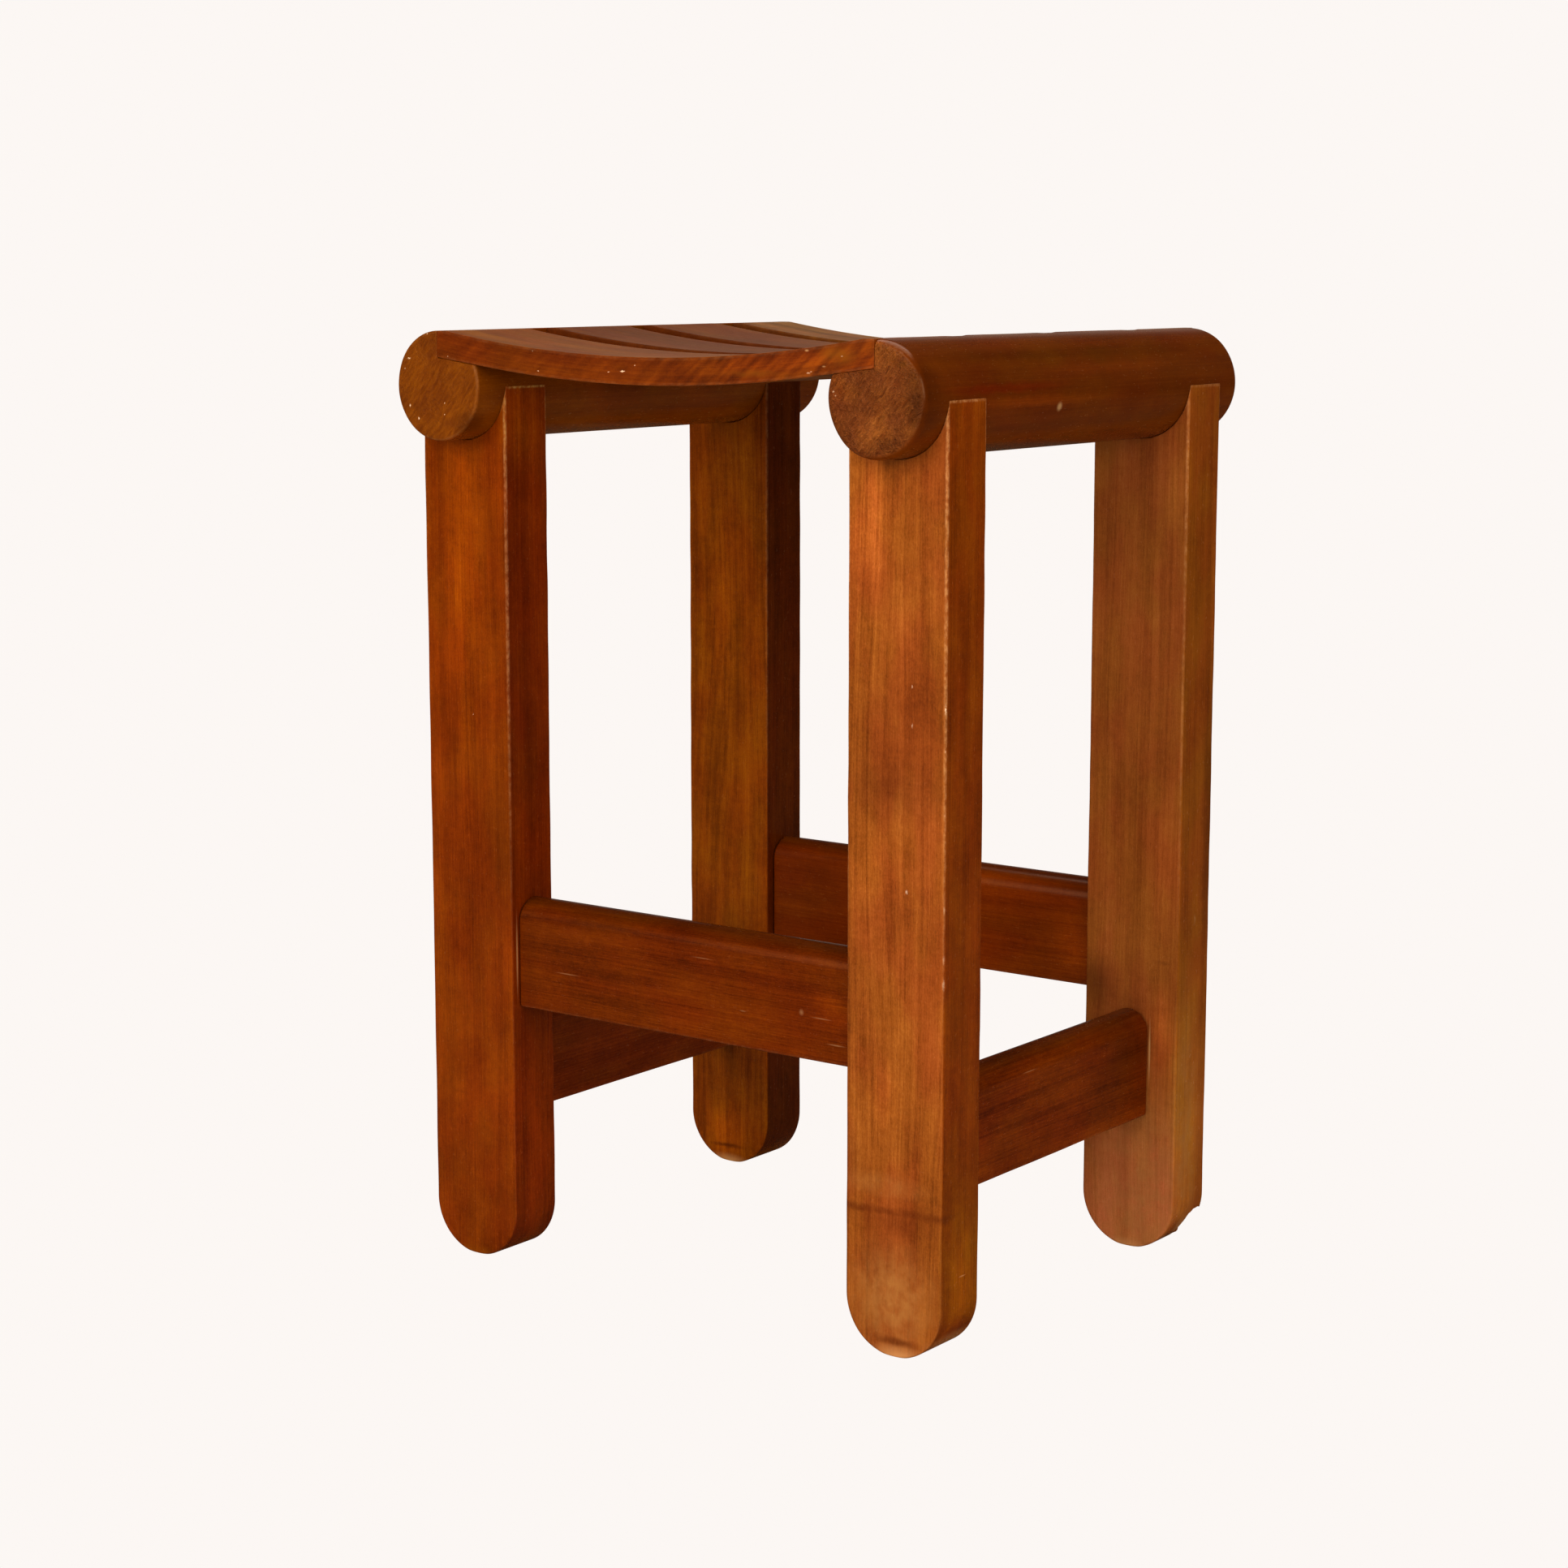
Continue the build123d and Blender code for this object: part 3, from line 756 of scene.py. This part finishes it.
# Marks of use, and tints of painted light and shade, that the photograph shows: kind, centre and size in
# mm, and strength
LEG_MARKS = {
    "front_right_leg": [
        ("chip", (217.2, -167.2, 424), (0.9, 0.9, 4.4), 0.8),
        ("chip", (217.2, -167.2, 397.5), (0.6, 0.7, 1.2), 0.9),
        ("chip", (217.2, -167.2, 357.7), (0.6, 0.7, 1.1), 0.8),
        ("chip", (217.2, -167, 297.5), (1, 1.1, 3.4), 0.22),
        ("chip", (217.1, -166.9, 266), (1.1, 1.2, 4), 0.22),
        ("chip", (217.1, -166.9, 250), (1.2, 1.3, 4.8), 0.28),
        ("chip", (189, -167.7, 306), (1.4, 0.8, 2), 0.4),
        ("chip", (192.4, -167.7, 411.5), (0.6, 0.8, 2.2), 0.35),
        ("chip", (192.2, -167.7, 436.5), (0.6, 0.8, 1.8), 0.35),
        ("rub", (217.5, -143.5, 55.3), (2, 5.5, 0.7), 0.9),
        ("scuff", (180, -167.5, 38), (48, 8, 50), 0.95),
        ("scuff", (170, -167.5, 113), (50, 6, 11), 0.45),
        ("rub", (186, -164, -1), (32, 40, 13), 1.0),
        ("rub", (210, -144, 8), (16, 34, 13), 0.7),
        ("olive", (218, -140, 60), (6, 40, 100), 1.4),
        ("pale_tone_and_painted_light", (218, -144, 50), (6, 30, 80), 0.9),
        ("pale_tone_and_painted_light", (158, -167.5, 535), (30, 10, 80), 0.6),
        ("dim", (175, -167.5, 370), (60, 10, 30), 0.45),
        ("pale_tone_and_painted_light", (162, -167.5, 320), (30, 10, 35), 0.45),
        ("pale_tone_and_painted_light", (172, -167.5, 172), (18, 10, 35), 0.5),
        ("dim", (145, -167.5, 125), (16, 10, 35), 0.5),
        ("stain_and_painted_shade", (150, -167.5, 95), (34, 8, 4.8), 0.7),
        ("stain_and_painted_shade", (174, -167.5, 96), (34, 8, 4.6), 0.62),
        ("stain_and_painted_shade", (198, -167.5, 97.2), (34, 8, 4.6), 0.6),
        ("stain_and_painted_shade", (185, -167.5, 90), (50, 8, 12), 0.35),
        ("stain_and_painted_shade", (214, -164, 97.5), (16, 20, 5), 0.65),
        ("stain_and_painted_shade", (183, -167.5, 10.5), (26, 8, 4.4), 0.8),
        ("stain_and_painted_shade", (179, -167.5, 398), (50, 6, 60), 0.2),
    ],
    "front_left_leg": [
        ("chip", (-175.5, -167.7, 387.5), (0.8, 0.7, 1), 0.9),
        ("scuff", (-180, -164, 1), (24, 30, 7), 0.7),
        ("pale_tone_and_painted_light", (-182, -167.5, 490), (26, 10, 160), 0.75),
        ("dim", (-150, -167.5, 290), (22, 10, 90), 0.55),
        ("rub", (-142.5, -162.4, 220), (4, 1.3, 38), 1.1),
        ("pale_tone_and_painted_light", (-142.5, -146, 600), (10, 40, 60), 1.3),
        ("olive", (-142.5, -146, 600), (10, 40, 70), 1.3),
        ("dim", (-142.5, -146, 350), (10, 30, 50), 0.4),
        ("pale_tone_and_painted_light", (-142.5, -146, 90), (10, 40, 90), 0.7),
    ],
    "back_left_leg": [
        ("pale_tone_and_painted_light", (-185, 124.5, 20), (30, 20, 40), 1.0),
        ("pale_tone_and_painted_light", (-185, 124.5, 440), (16, 10, 140), 0.6),
        ("dim", (-180, 124.5, 170), (50, 10, 50), 0.45),
        ("rub", (-180, 125, 0), (26, 20, 8), 1.1),
        ("stain_and_painted_shade", (-182, 124.5, 12.5), (23, 6, 2.6), 0.9),
    ],
    "back_right_leg": [
        ("scuff", (217.5, 147, 239), (2, 2.2, 5.5), 1.6),
        ("stain_and_painted_shade", (205, 124.5, 211), (11, 6, 2.6), 0.35),
        ("pale_tone_and_painted_light", (202, 124.5, 50), (56, 16, 130), 1.0),
        ("pale_tone_and_painted_light", (185, 124.5, 25), (70, 16, 90), 0.85),
        ("dust_and_painted_sheen", (185, 124.5, 25), (90, 16, 120), 1.0),
        ("pale_tone_and_painted_light", (206, 124.5, 260), (20, 10, 120), 0.45),
        ("pale_tone_and_painted_light", (210, 124.5, 560), (20, 10, 80), 0.5),
        ("dim", (152, 124.5, 190), (24, 10, 30), 0.8),
        ("scuff", (196, 124.5, 30), (75, 6, 170), 0.55),
        ("olive", (217.5, 140, 100), (6, 30, 160), 0.6),
        ("pale_tone_and_painted_light", (217.5, 140, 80), (6, 30, 170), 1.2),
        ("scuff", (217.5, 140, 80), (8, 30, 150), 0.6),
        ("dim", (217.5, 166, 300), (10, 16, 160), 0.9),
        ("rub", (180, 124.5, 0), (30, 10, 8), 0.6),
        ("rub", (208, 146, 16), (14, 11, 12), 0.6),
        ("rub", (196, 124.5, 145), (1.2, 3, 30), 1.2),
        ("pale_tone_and_painted_light", (206, 124.5, 115), (20, 10, 110), 1.7),
        ("red", (206, 124.5, 145), (15, 10, 60), 0.25),
    ],
}


def make_legs():
    for number, (node, looks) in enumerate(LEG_LOOKS.items()):
        figure, edge, tint, pith = looks
        material = teak(
            node, "Z", pith, "leg", number, figure=figure, edge=edge, facing_shade_and_sheen=(GRAIN_AXES["X"], tint),
            marks=LEG_MARKS[node],
        )
        bites = [(metres(centre), metres(size)) for centre, size in LEG_BITES.get(node, [])]
        form = leg_form(node, *hand_work("leg", number, "Z"), bites)
        carve(node, form, leg_axes(node, bites), material)


# Logs
def rebate_floor(x):
    """Height of the sloping floor that the slats bear on, under a place on the slat."""
    slat_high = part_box("seat_slat_1")[1]
    log_low, log_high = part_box("right_log")
    length = (log_high.x - log_low.x) / 2 + SLAT_BEARING_MARGIN
    outer = slat_high.z - SLAT_THICKNESS
    radius, centre = dish()
    inner = centre - math.sqrt((radius + SLAT_THICKNESS) ** 2 - (slat_high.x - length) ** 2)
    return outer + (inner - outer) * (slat_high.x - np.abs(x)) / length


def dish():
    """Radius of the seat's dish and the height of its centre."""
    low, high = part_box("seat_slat_1")
    sag = high.z - low.z - SLAT_THICKNESS
    half_span = high.x - SLAT_LANDING
    radius = (half_span**2 + sag**2) / (2 * sag)
    return radius, high.z - sag + radius


def log_form(node, ripple, arris):
    """A round log with the rebate that holds the slats."""
    low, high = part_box(node)
    middle = (low + high) / 2
    radius = (high.x - low.x) / 2
    wall = abs(middle.x)

    def form(place):
        x, y, z = place
        barrel = np.hypot(x - middle.x, z - middle.z) - radius
        end = np.abs(y - middle.y) - (high.y - low.y) / 2
        rounding = LOG_RIM_ROUNDING[node] * (1.0 + ARRIS_WANDER * arris(place))
        field = planed(meet(rounding, barrel, end), ripple, place)
        rebate = np.minimum(wall - np.abs(x), z - rebate_floor(x))
        # The second value is how pale the rims are: wear and a painted highlight.
        return meet(SHARP, field, rebate), edge_share(WEAR_AND_HIGHLIGHT_REACH, barrel, end)

    return form


LOG_STEPS = (1.5 * MM, 5 * MM, 1.5 * MM)        # the grid's widest steps along X, Y and Z
RIM_STEP = 0.6 * MM


def log_axes(node):
    low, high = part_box(node)
    rims = both_ends(low.y, high.y, LOG_RIM_ROUNDING[node] + ARRIS_MARGIN, RIM_STEP)
    return grid_axes(node, LOG_STEPS, ([], rims, []))


LOG_FIGURE = 0.65
LOG_RIM_ROUNDING = {"left_log": 2.0 * MM, "right_log": 6.0 * MM}
LOG_LOOKS = {       # pith, and roughness and tint of the sawn ends
    "left_log": ((-0.110, 0.520), 0.3 * MM, (0.81, 0.81, 0.70)),
    "right_log": ((0.232, 0.545), 3.0 * MM, (1.45, 1.90, 9.0)),
}
LOG_MARKS = {
    "left_log": [
        ("chip", (-188.6, -193.2, 647.8), (1, 0.8, 0.7), 1.0),
        ("chip", (-205.5, -193.2, 631.2), (2.2, 0.8, 0.8), 0.9),
        ("chip", (-209.5, -193.2, 624), (0.8, 0.7, 0.9), 0.6),
        ("chip", (-205.2, -193.2, 599.2), (1, 0.8, 1.4), 1.1),
        ("chip", (-197.5, -193.2, 590.8), (1, 0.8, 1.2), 1.1),
        ("chip", (-173.5, -193.3, 601.8), (0.7, 0.7, 1.2), 0.9),
        ("chip", (-173.8, -193.3, 594.2), (0.8, 0.7, 0.8), 0.9),
        # Painted shadow on the lower right of the left log's end.
        ("dim", (-150, -190, 585), (20, 20, 18), 0.9),
    ],
    "right_log": [
        ("chip", (150, -193.3, 617.4), (1.4, 0.8, 1), 0.8),
        ("chip", (146.2, -193.3, 616), (1.2, 0.8, 0.8), 0.7),
        ("chip", (147.8, -193.3, 619.6), (0.7, 0.8, 0.9), 0.5),
        ("chip", (151.5, -193.3, 615), (0.8, 0.8, 0.6), 0.5),
        ("rub", (216, -38.5, 604.5), (3, 4.2, 4.2), 1.3),
        ("chip", (214.5, -61.9, 597), (0.8, 0.8, 0.8), 0.5),
        ("pale_tone_and_painted_light", (182, -190, 640), (7, 20, 14), 1.0),
        ("scuff", (182, -190, 640), (6, 20, 12), 0.8),
        ("scuff", (201, -188, 635), (6, 20, 3), 0.6),
        # Painted shade on the right of the right log's end.
        ("dim", (212, -190, 612), (12, 30, 40), 0.9),
        ("red", (152, -190, 615), (16, 20, 24), 0.3),
        ("pale_tone_and_painted_light", (178, -190, 595), (22, 20, 18), 0.5),
        ("pale_tone_and_painted_light", (192, -190, 623), (10, 20, 14), 0.3),
        ("red", (216.6, -100, 618.4), (12, 90, 5), 1.2),
        # Lighter and darker bands along the barrel: painted highlights and shade.
        ("pale_tone_and_painted_light", (216.6, -60, 609), (10, 110, 5.5), 0.7),
        ("pale_tone_and_painted_light", (214, 30, 628), (12, 120, 6), 0.45),
        ("dim", (208, -20, 638), (12, 220, 7), 0.35),
        ("olive", (208, 0, 636), (16, 200, 12), 0.5),
        ("stain_and_painted_shade", (190, -193, 586), (16, 6, 8), 0.45),
    ],
}


def make_logs():
    for number, (node, (pith, relief, tint)) in enumerate(LOG_LOOKS.items()):
        material = teak(
            node, "Y", pith, "log", number, figure=LOG_FIGURE, end_relief=relief, end_tint=tint,
            marks=LOG_MARKS[node],
        )
        form = log_form(node, *hand_work("log", number, "Y"))
        carve(node, form, log_axes(node), material)


# Seat slats
def slat_form(node, ripple, arris):
    """A dished slat, flat at its landings and where it bears on the logs."""
    low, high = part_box(node)
    middle = (low + high) / 2
    radius, centre = dish()
    log_low, log_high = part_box("right_log")
    bearing = high.x - (log_high.x - log_low.x) / 2 - SLAT_BEARING_MARGIN

    def form(place):
        x, y, z = place
        out = np.abs(x)
        reach = np.hypot(x, z - centre)
        top = np.where(out < high.x - SLAT_LANDING, radius - reach, z - high.z)
        under = np.where(out < bearing, reach - radius - SLAT_THICKNESS, rebate_floor(x) - z)
        flank = np.abs(y - middle.y) - (high.y - low.y) / 2
        rounding = SLAT_ARRIS * (1.0 + ARRIS_WANDER * arris(place))
        field = planed(meet(rounding, top, under, flank), ripple, place)
        # Paleness of the edges: wear and a painted highlight.
        wear_and_highlight = edge_share(WEAR_AND_HIGHLIGHT_REACH, np.maximum(top, under), flank)
        return meet(SHARP, field, out - high.x), wear_and_highlight

    return form


SLAT_STEPS = (3 * MM, 3 * MM, 0.7 * MM)         # the grid's widest steps along X, Y and Z
SLAT_ARRIS_STEP = 0.4 * MM


def slat_axes(node):
    low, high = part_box(node)
    ends = both_ends(low.x, high.x, SHARP, EDGE_STEP)
    arrises = both_ends(low.y, high.y, SLAT_ARRIS + ARRIS_MARGIN, SLAT_ARRIS_STEP)
    return grid_axes(node, SLAT_STEPS, (ends, arrises, []))


SLAT_BOW = 0.5
SLAT_GLOSS = 0.34
SLAT_PITH_DROP = 0.15       # how far below the first slat its pith was
SLAT_PITH_STEPS = (0.03, 0.04)      # how much further over and down it was for each slat behind
SLAT_LOOKS = (      # strength of the figure and of the slanting flames, and tint of the top, which paints its sheen
    (1.0, 1.4, (1.48, 2.10, 5.0)),
    (1.3, 0.0, (0.84, 0.82, 0.8)),
    (1.3, 0.0, (0.94, 1.00, 1.3)),
    (1.3, 0.0, (1.10, 1.32, 2.4)),
)
PAINTED_GAP_SHADE = 0.9              # painted shade on the slats' sides in the gaps
GAP_SHADE_START = 1              # mm in front of the slat
GAP_SHADE_DEPTH = 5              # mm
EVERYWHERE = 9000           # mm, the size of a mark that runs past the piece
SLAT_MARKS = {
    "seat_slat_1": [
        ("chip", (-17.7, -193.2, 626.2), (2.6, 0.8, 0.7), 1.6),
        ("chip", (-29.5, -193.2, 625.6), (1.2, 0.7, 0.5), 0.8),
        ("chip", (-7.5, -193.2, 630.3), (0.7, 0.7, 0.5), 0.9),
        ("chip", (-94.4, -193.2, 638), (0.8, 0.7, 0.6), 0.8),
        ("chip", (-89.9, -193.2, 624.8), (1, 0.7, 0.6), 0.8),
        ("chip", (-170, -193.2, 633.2), (0.9, 0.7, 0.6), 0.6),
        ("rub", (129.5, -193.2, 642), (2.2, 3, 1), 1.2),
        ("rub", (142.5, -193.2, 632.5), (2, 3, 0.8), 0.9),
        ("chip", (130.8, -193.2, 628.3), (2.2, 0.8, 0.7), 0.5),
        ("chip", (133, -193.2, 629), (1.2, 0.8, 0.5), 0.4),
        ("chip", (156, -193.2, 639), (1.4, 0.7, 0.6), 0.4),
        ("scuff", (152, -193, 640), (20, 4, 10), 1.0),
        ("pale_tone_and_painted_light", (176, -193, 640), (12, 10, 16), 0.8),
        ("pale_tone_and_painted_light", (70, -193, 630), (50, 10, 12), 0.4),
        ("pale_tone_and_painted_light", (142, -193, 636), (50, 10, 14), 0.45),
        ("scuff", (90, -193, 627), (45, 4, 4), 0.6),
        ("stain_and_painted_shade", (-60, -193, 637), (40, 4, 3), 0.25),
    ],
}


def painted_gap_shade(node):
    """Painted shade on the slat's side that looks into the gap in front of it."""
    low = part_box(node)[0]
    centre = (0, low.y / MM - GAP_SHADE_START, low.z / MM)
    return ("stain_and_painted_shade", centre, (EVERYWHERE, GAP_SHADE_DEPTH, EVERYWHERE), PAINTED_GAP_SHADE)


def make_slats():
    over, down = SLAT_PITH_STEPS
    for number, (figure, licks, tint) in enumerate(SLAT_LOOKS):
        node = f"seat_slat_{number + 1}"
        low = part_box(node)[0]
        pith = (low.y + over * number, low.z - SLAT_PITH_DROP - down * number)
        material = teak(
            node, "X", pith, "slat", number, figure=figure, bow=SLAT_BOW, licks=licks,
            facing_shade_and_sheen=(GRAIN_AXES["Z"], tint), marks=SLAT_MARKS.get(node, [painted_gap_shade(node)]), gloss=SLAT_GLOSS,
        )
        form = slat_form(node, *hand_work("slat", number, "X"))
        carve(node, form, slat_axes(node), material)


# Rails
def rail_form(node, along, ripple, arris):
    """A rail with a round top that ends at its shoulders against the legs."""
    low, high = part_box(node)
    middle = (low + high) / 2
    side = 1 - along
    half_depth = (high[side] - low[side]) / 2
    leg_low, leg_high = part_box("front_right_leg")
    shoulder = leg_low.x if along == 0 else -leg_high.y

    def form(place):
        z = place[2]
        above = np.maximum(z - (high.z - half_depth), 0.0)
        outline = np.hypot(place[side] - middle[side], above) - half_depth
        rounding = RAIL_ARRIS * (1.0 + ARRIS_WANDER * arris(place))
        field = planed(meet(rounding, outline, low.z - z), ripple, place)
        # Paleness of the edges: wear and a painted highlight.
        wear_and_highlight = edge_share(WEAR_AND_HIGHLIGHT_REACH, outline, low.z - z)
        return meet(SHARP, field, np.abs(place[along]) - shoulder), wear_and_highlight

    return form


RAIL_STEPS = (5 * MM, 1.6 * MM, 4 * MM)         # the grid's widest steps along, across and up
RAIL_TOP_STEP = 1.2 * MM


def rail_axes(node, along):
    low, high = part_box(node)
    side = 1 - along
    arris = RAIL_ARRIS + ARRIS_MARGIN
    top = high.z - (high[side] - low[side]) / 2
    steps = [RAIL_STEPS[along], RAIL_STEPS[side], RAIL_STEPS[2]]
    zones = [[], [], [(low.z, low.z + arris, EDGE_STEP), (top, high.z, RAIL_TOP_STEP)]]
    zones[side] = both_ends(low[side], high[side], arris, EDGE_STEP)
    return grid_axes(node, steps, zones)


RAIL_FIGURES = (1.20, 0.95, 1.30, 1.40)
# Tint of the rails' tops: a painted grey-violet sheen.
RAIL_TOP_PAINTED_SHEEN = (0.72, 0.82, 2.0)
RAIL_PITH = (0.05, 0.12)    # how far beside and below the rail its pith was
RAIL_MARKS = {
    "front_rail": [
        ("rub", (102, -161, 215), (2.6, 3, 3), 0.45),
        ("rub", (130, -161, 197), (10, 3, 0.8), 0.5),
        ("rub", (118, -161, 213), (11, 3, 0.7), 0.45),
        ("rub", (54, -161, 209), (4, 3, 0.7), 0.4),
        ("rub", (20, -161, 240), (12, 3, 0.6), 0.35),
        ("rub", (-98, -161, 213), (14, 3, 0.7), 0.4),
        # Painted shade on the rail beside the left leg.
        ("stain_and_painted_shade", (-133, -161, 215), (12, 6, 50), 0.3),
        ("pale_tone_and_painted_light", (130, -161, 218), (32, 10, 20), 0.7),
        ("dim", (-90, -161, 250), (90, 10, 10), 0.5),
    ],
    "right_side_rail": [
        ("rub", (195, -30, 163), (3, 12, 0.6), 0.6),
        ("dim", (195, 110, 150), (20, 90, 60), 0.9),
        ("pale_tone_and_painted_light", (195, -90, 130), (20, 50, 40), 0.4),
    ],
    "back_rail": [
        ("pale_tone_and_painted_light", (-30, 131, 225), (30, 10, 40), 0.5),
        ("pale_tone_and_painted_light", (130, 131, 210), (30, 10, 40), 0.6),
    ],
}
RAIL_ALONG = {"front_rail": 0, "back_rail": 0, "left_side_rail": 1, "right_side_rail": 1}


def make_rails():
    beside, below = RAIL_PITH
    for number, (node, along) in enumerate(RAIL_ALONG.items()):
        low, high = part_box(node)
        side = 1 - along
        grain = "XY"[along]
        pith = ((low[side] + high[side]) / 2 + beside, low.z - below)
        material = teak(
            node, grain, pith, "rail", number, figure=RAIL_FIGURES[number],
            facing_shade_and_sheen=(GRAIN_AXES["Z"], RAIL_TOP_PAINTED_SHEEN), marks=RAIL_MARKS.get(node, []),
        )
        form = rail_form(node, along, *hand_work("rail", number, grain))
        carve(node, form, rail_axes(node, along), material)


# Dowels
DOWEL_PITH = (0.02, 0.02)
DOWEL_RING_WIDTH = 1.5 * MM


def finish_dowels():
    """The dowels are glued inside the joints and keep their CAD shape."""
    material = teak("dowels", "Z", DOWEL_PITH, ring=DOWEL_RING_WIDTH)
    for node in ("leg_dowels", "slat_dowels"):
        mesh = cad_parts[node].data
        mesh.materials.clear()
        mesh.materials.append(material)


# Camera
CAMERA_PLACE = (1.3005, -1.7742, 0.6981)
CAMERA_TILT = 80.596        # degrees up from looking straight down
CAMERA_TURN = 36.929        # degrees round to the right of the stool's front
SENSOR_WIDTH = 36.0
FOCAL_LENGTH = 72.93


def make_camera():
    data = bpy.data.cameras.new("camera")
    data.sensor_width = SENSOR_WIDTH
    data.lens = FOCAL_LENGTH
    camera = bpy.data.objects.new("camera", data)
    camera.location = CAMERA_PLACE
    camera.rotation_euler = (math.radians(CAMERA_TILT), 0, math.radians(CAMERA_TURN))
    bpy.context.scene.collection.objects.link(camera)
    bpy.context.scene.camera = camera


# Studio
PRINT_GAMMA = 0.85          # the photograph's contrast
PAPER = (0.978, 0.940, 0.917, 1)    # the pale backdrop, as linear light before that contrast
STOOL_MIDDLE = Vector((0, 0, 0.36))
WARM = (1.0, 0.97, 0.93)
SOFTLY_WARM = (1.0, 0.98, 0.96)
LIGHTS = {          # place, size, power in watts, colour, and whether the varnish mirrors it
    "key_softbox": ((-0.3, -4.2, 2.1), (4.4, 2.4), 172, WARM, True),
    "right_fill": ((3.6, -1.6, 1.8), (1.6, 2.2), 66, WARM, True),
    "overhead": ((-0.2, 0.4, 2.8), (2.0, 2.0), 44, SOFTLY_WARM, True),
    "edge_strip": ((2.1, -2.5, 0.85), (0.4, 1.3), 9, SOFTLY_WARM, True),
    "back_fill": ((-0.4, 3.9, 1.2), (3.0, 1.8), 64, WARM, False),
    "left_fill": ((-3.8, 0.6, 1.2), (1.8, 1.8), 50, WARM, False),
}


def make_lights():
    """Soft lights that face the stool."""
    for name, (place, size, power, colour, mirrored) in LIGHTS.items():
        data = bpy.data.lights.new(name, "AREA")
        data.shape = "RECTANGLE"
        data.size, data.size_y = size
        data.energy = power
        data.color = colour
        light = bpy.data.objects.new(name, data)
        light.location = place
        light.visible_camera = False
        light.visible_glossy = mirrored
        light.rotation_euler = (STOOL_MIDDLE - Vector(place)).to_track_quat("-Z", "Y").to_euler()
        bpy.context.scene.collection.objects.link(light)


ROOM_FILL = 0.11            # light that the studio's pale walls scatter onto the stool
ROOM_COLOUR = (1.0, 0.97, 0.94, 1)
ROOM_SHEEN = 0.015          # what the varnish mirrors of the dark side of the studio
WALL_SHEEN = 0.32           # what it mirrors of the pale wall behind the stool
WALL_COLOUR = (1.0, 0.90, 0.80, 1)
WALL_WAY = Vector((-0.55, 0.83, 0.0)).normalized()
WALL_RANGE = (0.45, 0.95)   # how squarely a way has to point at the wall
WALL_TOP = (0.42, 0.22)     # how steep a way passes above it


def by_ray(g, seen, scattered, mirrored):
    """One shader for what the camera sees, one for scattered light and one for reflections."""
    rays = g.node("LightPath")
    dim = g.node("MixShader", {0: rays.outputs["Is Diffuse Ray"], 1: mirrored, 2: scattered})
    return g.node("MixShader", {0: rays.outputs["Is Camera Ray"], 1: dim.outputs[0], 2: seen}).outputs[0]


def make_world():
    """A dark studio with a pale wall behind the stool, seen by the camera as plain paper."""
    world = bpy.data.worlds.new("studio")
    world.use_nodes = True
    g = Graph(world.node_tree)
    g.tree.nodes.clear()
    way = g.node("TexCoord").outputs["Generated"]
    toward = g.between(g.vector("DOT_PRODUCT", way, WALL_WAY), *WALL_RANGE)
    steepness = g.math("ABSOLUTE", g.node("SeparateXYZ", {0: way}).outputs["Z"])
    wall = g.math("MULTIPLY", toward, g.between(steepness, *WALL_TOP))
    sheen = g.math("MULTIPLY_ADD", wall, WALL_SHEEN, ROOM_SHEEN)
    mirrored = g.node("Background", {"Color": WALL_COLOUR, "Strength": sheen})
    scattered = g.node("Background", {"Color": ROOM_COLOUR, "Strength": ROOM_FILL})
    paper = g.node("Background", {"Color": PAPER})
    out = g.node("OutputWorld")
    g.put(out.inputs["Surface"], by_ray(g, paper.outputs[0], scattered.outputs[0], mirrored.outputs[0]))
    bpy.context.scene.world = world


FLOOR_SPAN = 28.0
FLOOR_DROP = 0.2 * MM       # keeps the floor just clear of the feet
FLOOR_SCATTERED = (0.75, 0.71, 0.67, 1)
FLOOR_MIRRORED = (0.11, 0.08, 0.05, 1)


def make_floor():
    """A wide sheet of pale paper that glows like the backdrop."""
    edge = FLOOR_SPAN / 2
    corners = [(-edge, -edge), (edge, -edge), (edge, edge), (-edge, edge)]
    mesh = bpy.data.meshes.new("studio_floor")
    mesh.from_pydata([(x, y, -FLOOR_DROP) for x, y in corners], [], [(0, 1, 2, 3)])
    floor = bpy.data.objects.new("studio_floor", mesh)
    bpy.context.scene.collection.objects.link(floor)
    material = bpy.data.materials.new("paper")
    material.use_nodes = True
    g = Graph(material.node_tree)
    glow = g.node("Emission", {"Color": PAPER})
    bounce = g.node("BsdfDiffuse", {"Color": FLOOR_SCATTERED})
    dark = g.node("BsdfDiffuse", {"Color": FLOOR_MIRRORED})
    surface = by_ray(g, glow.outputs[0], bounce.outputs[0], dark.outputs[0])
    g.put(g.tree.nodes["Material Output"].inputs["Surface"], surface)
    mesh.materials.append(material)


make_legs()
make_logs()
make_slats()
make_rails()
finish_dowels()
make_camera()
make_lights()
make_world()
make_floor()
bpy.context.scene.view_settings.view_transform = "Standard"
bpy.context.scene.view_settings.gamma = PRINT_GAMMA
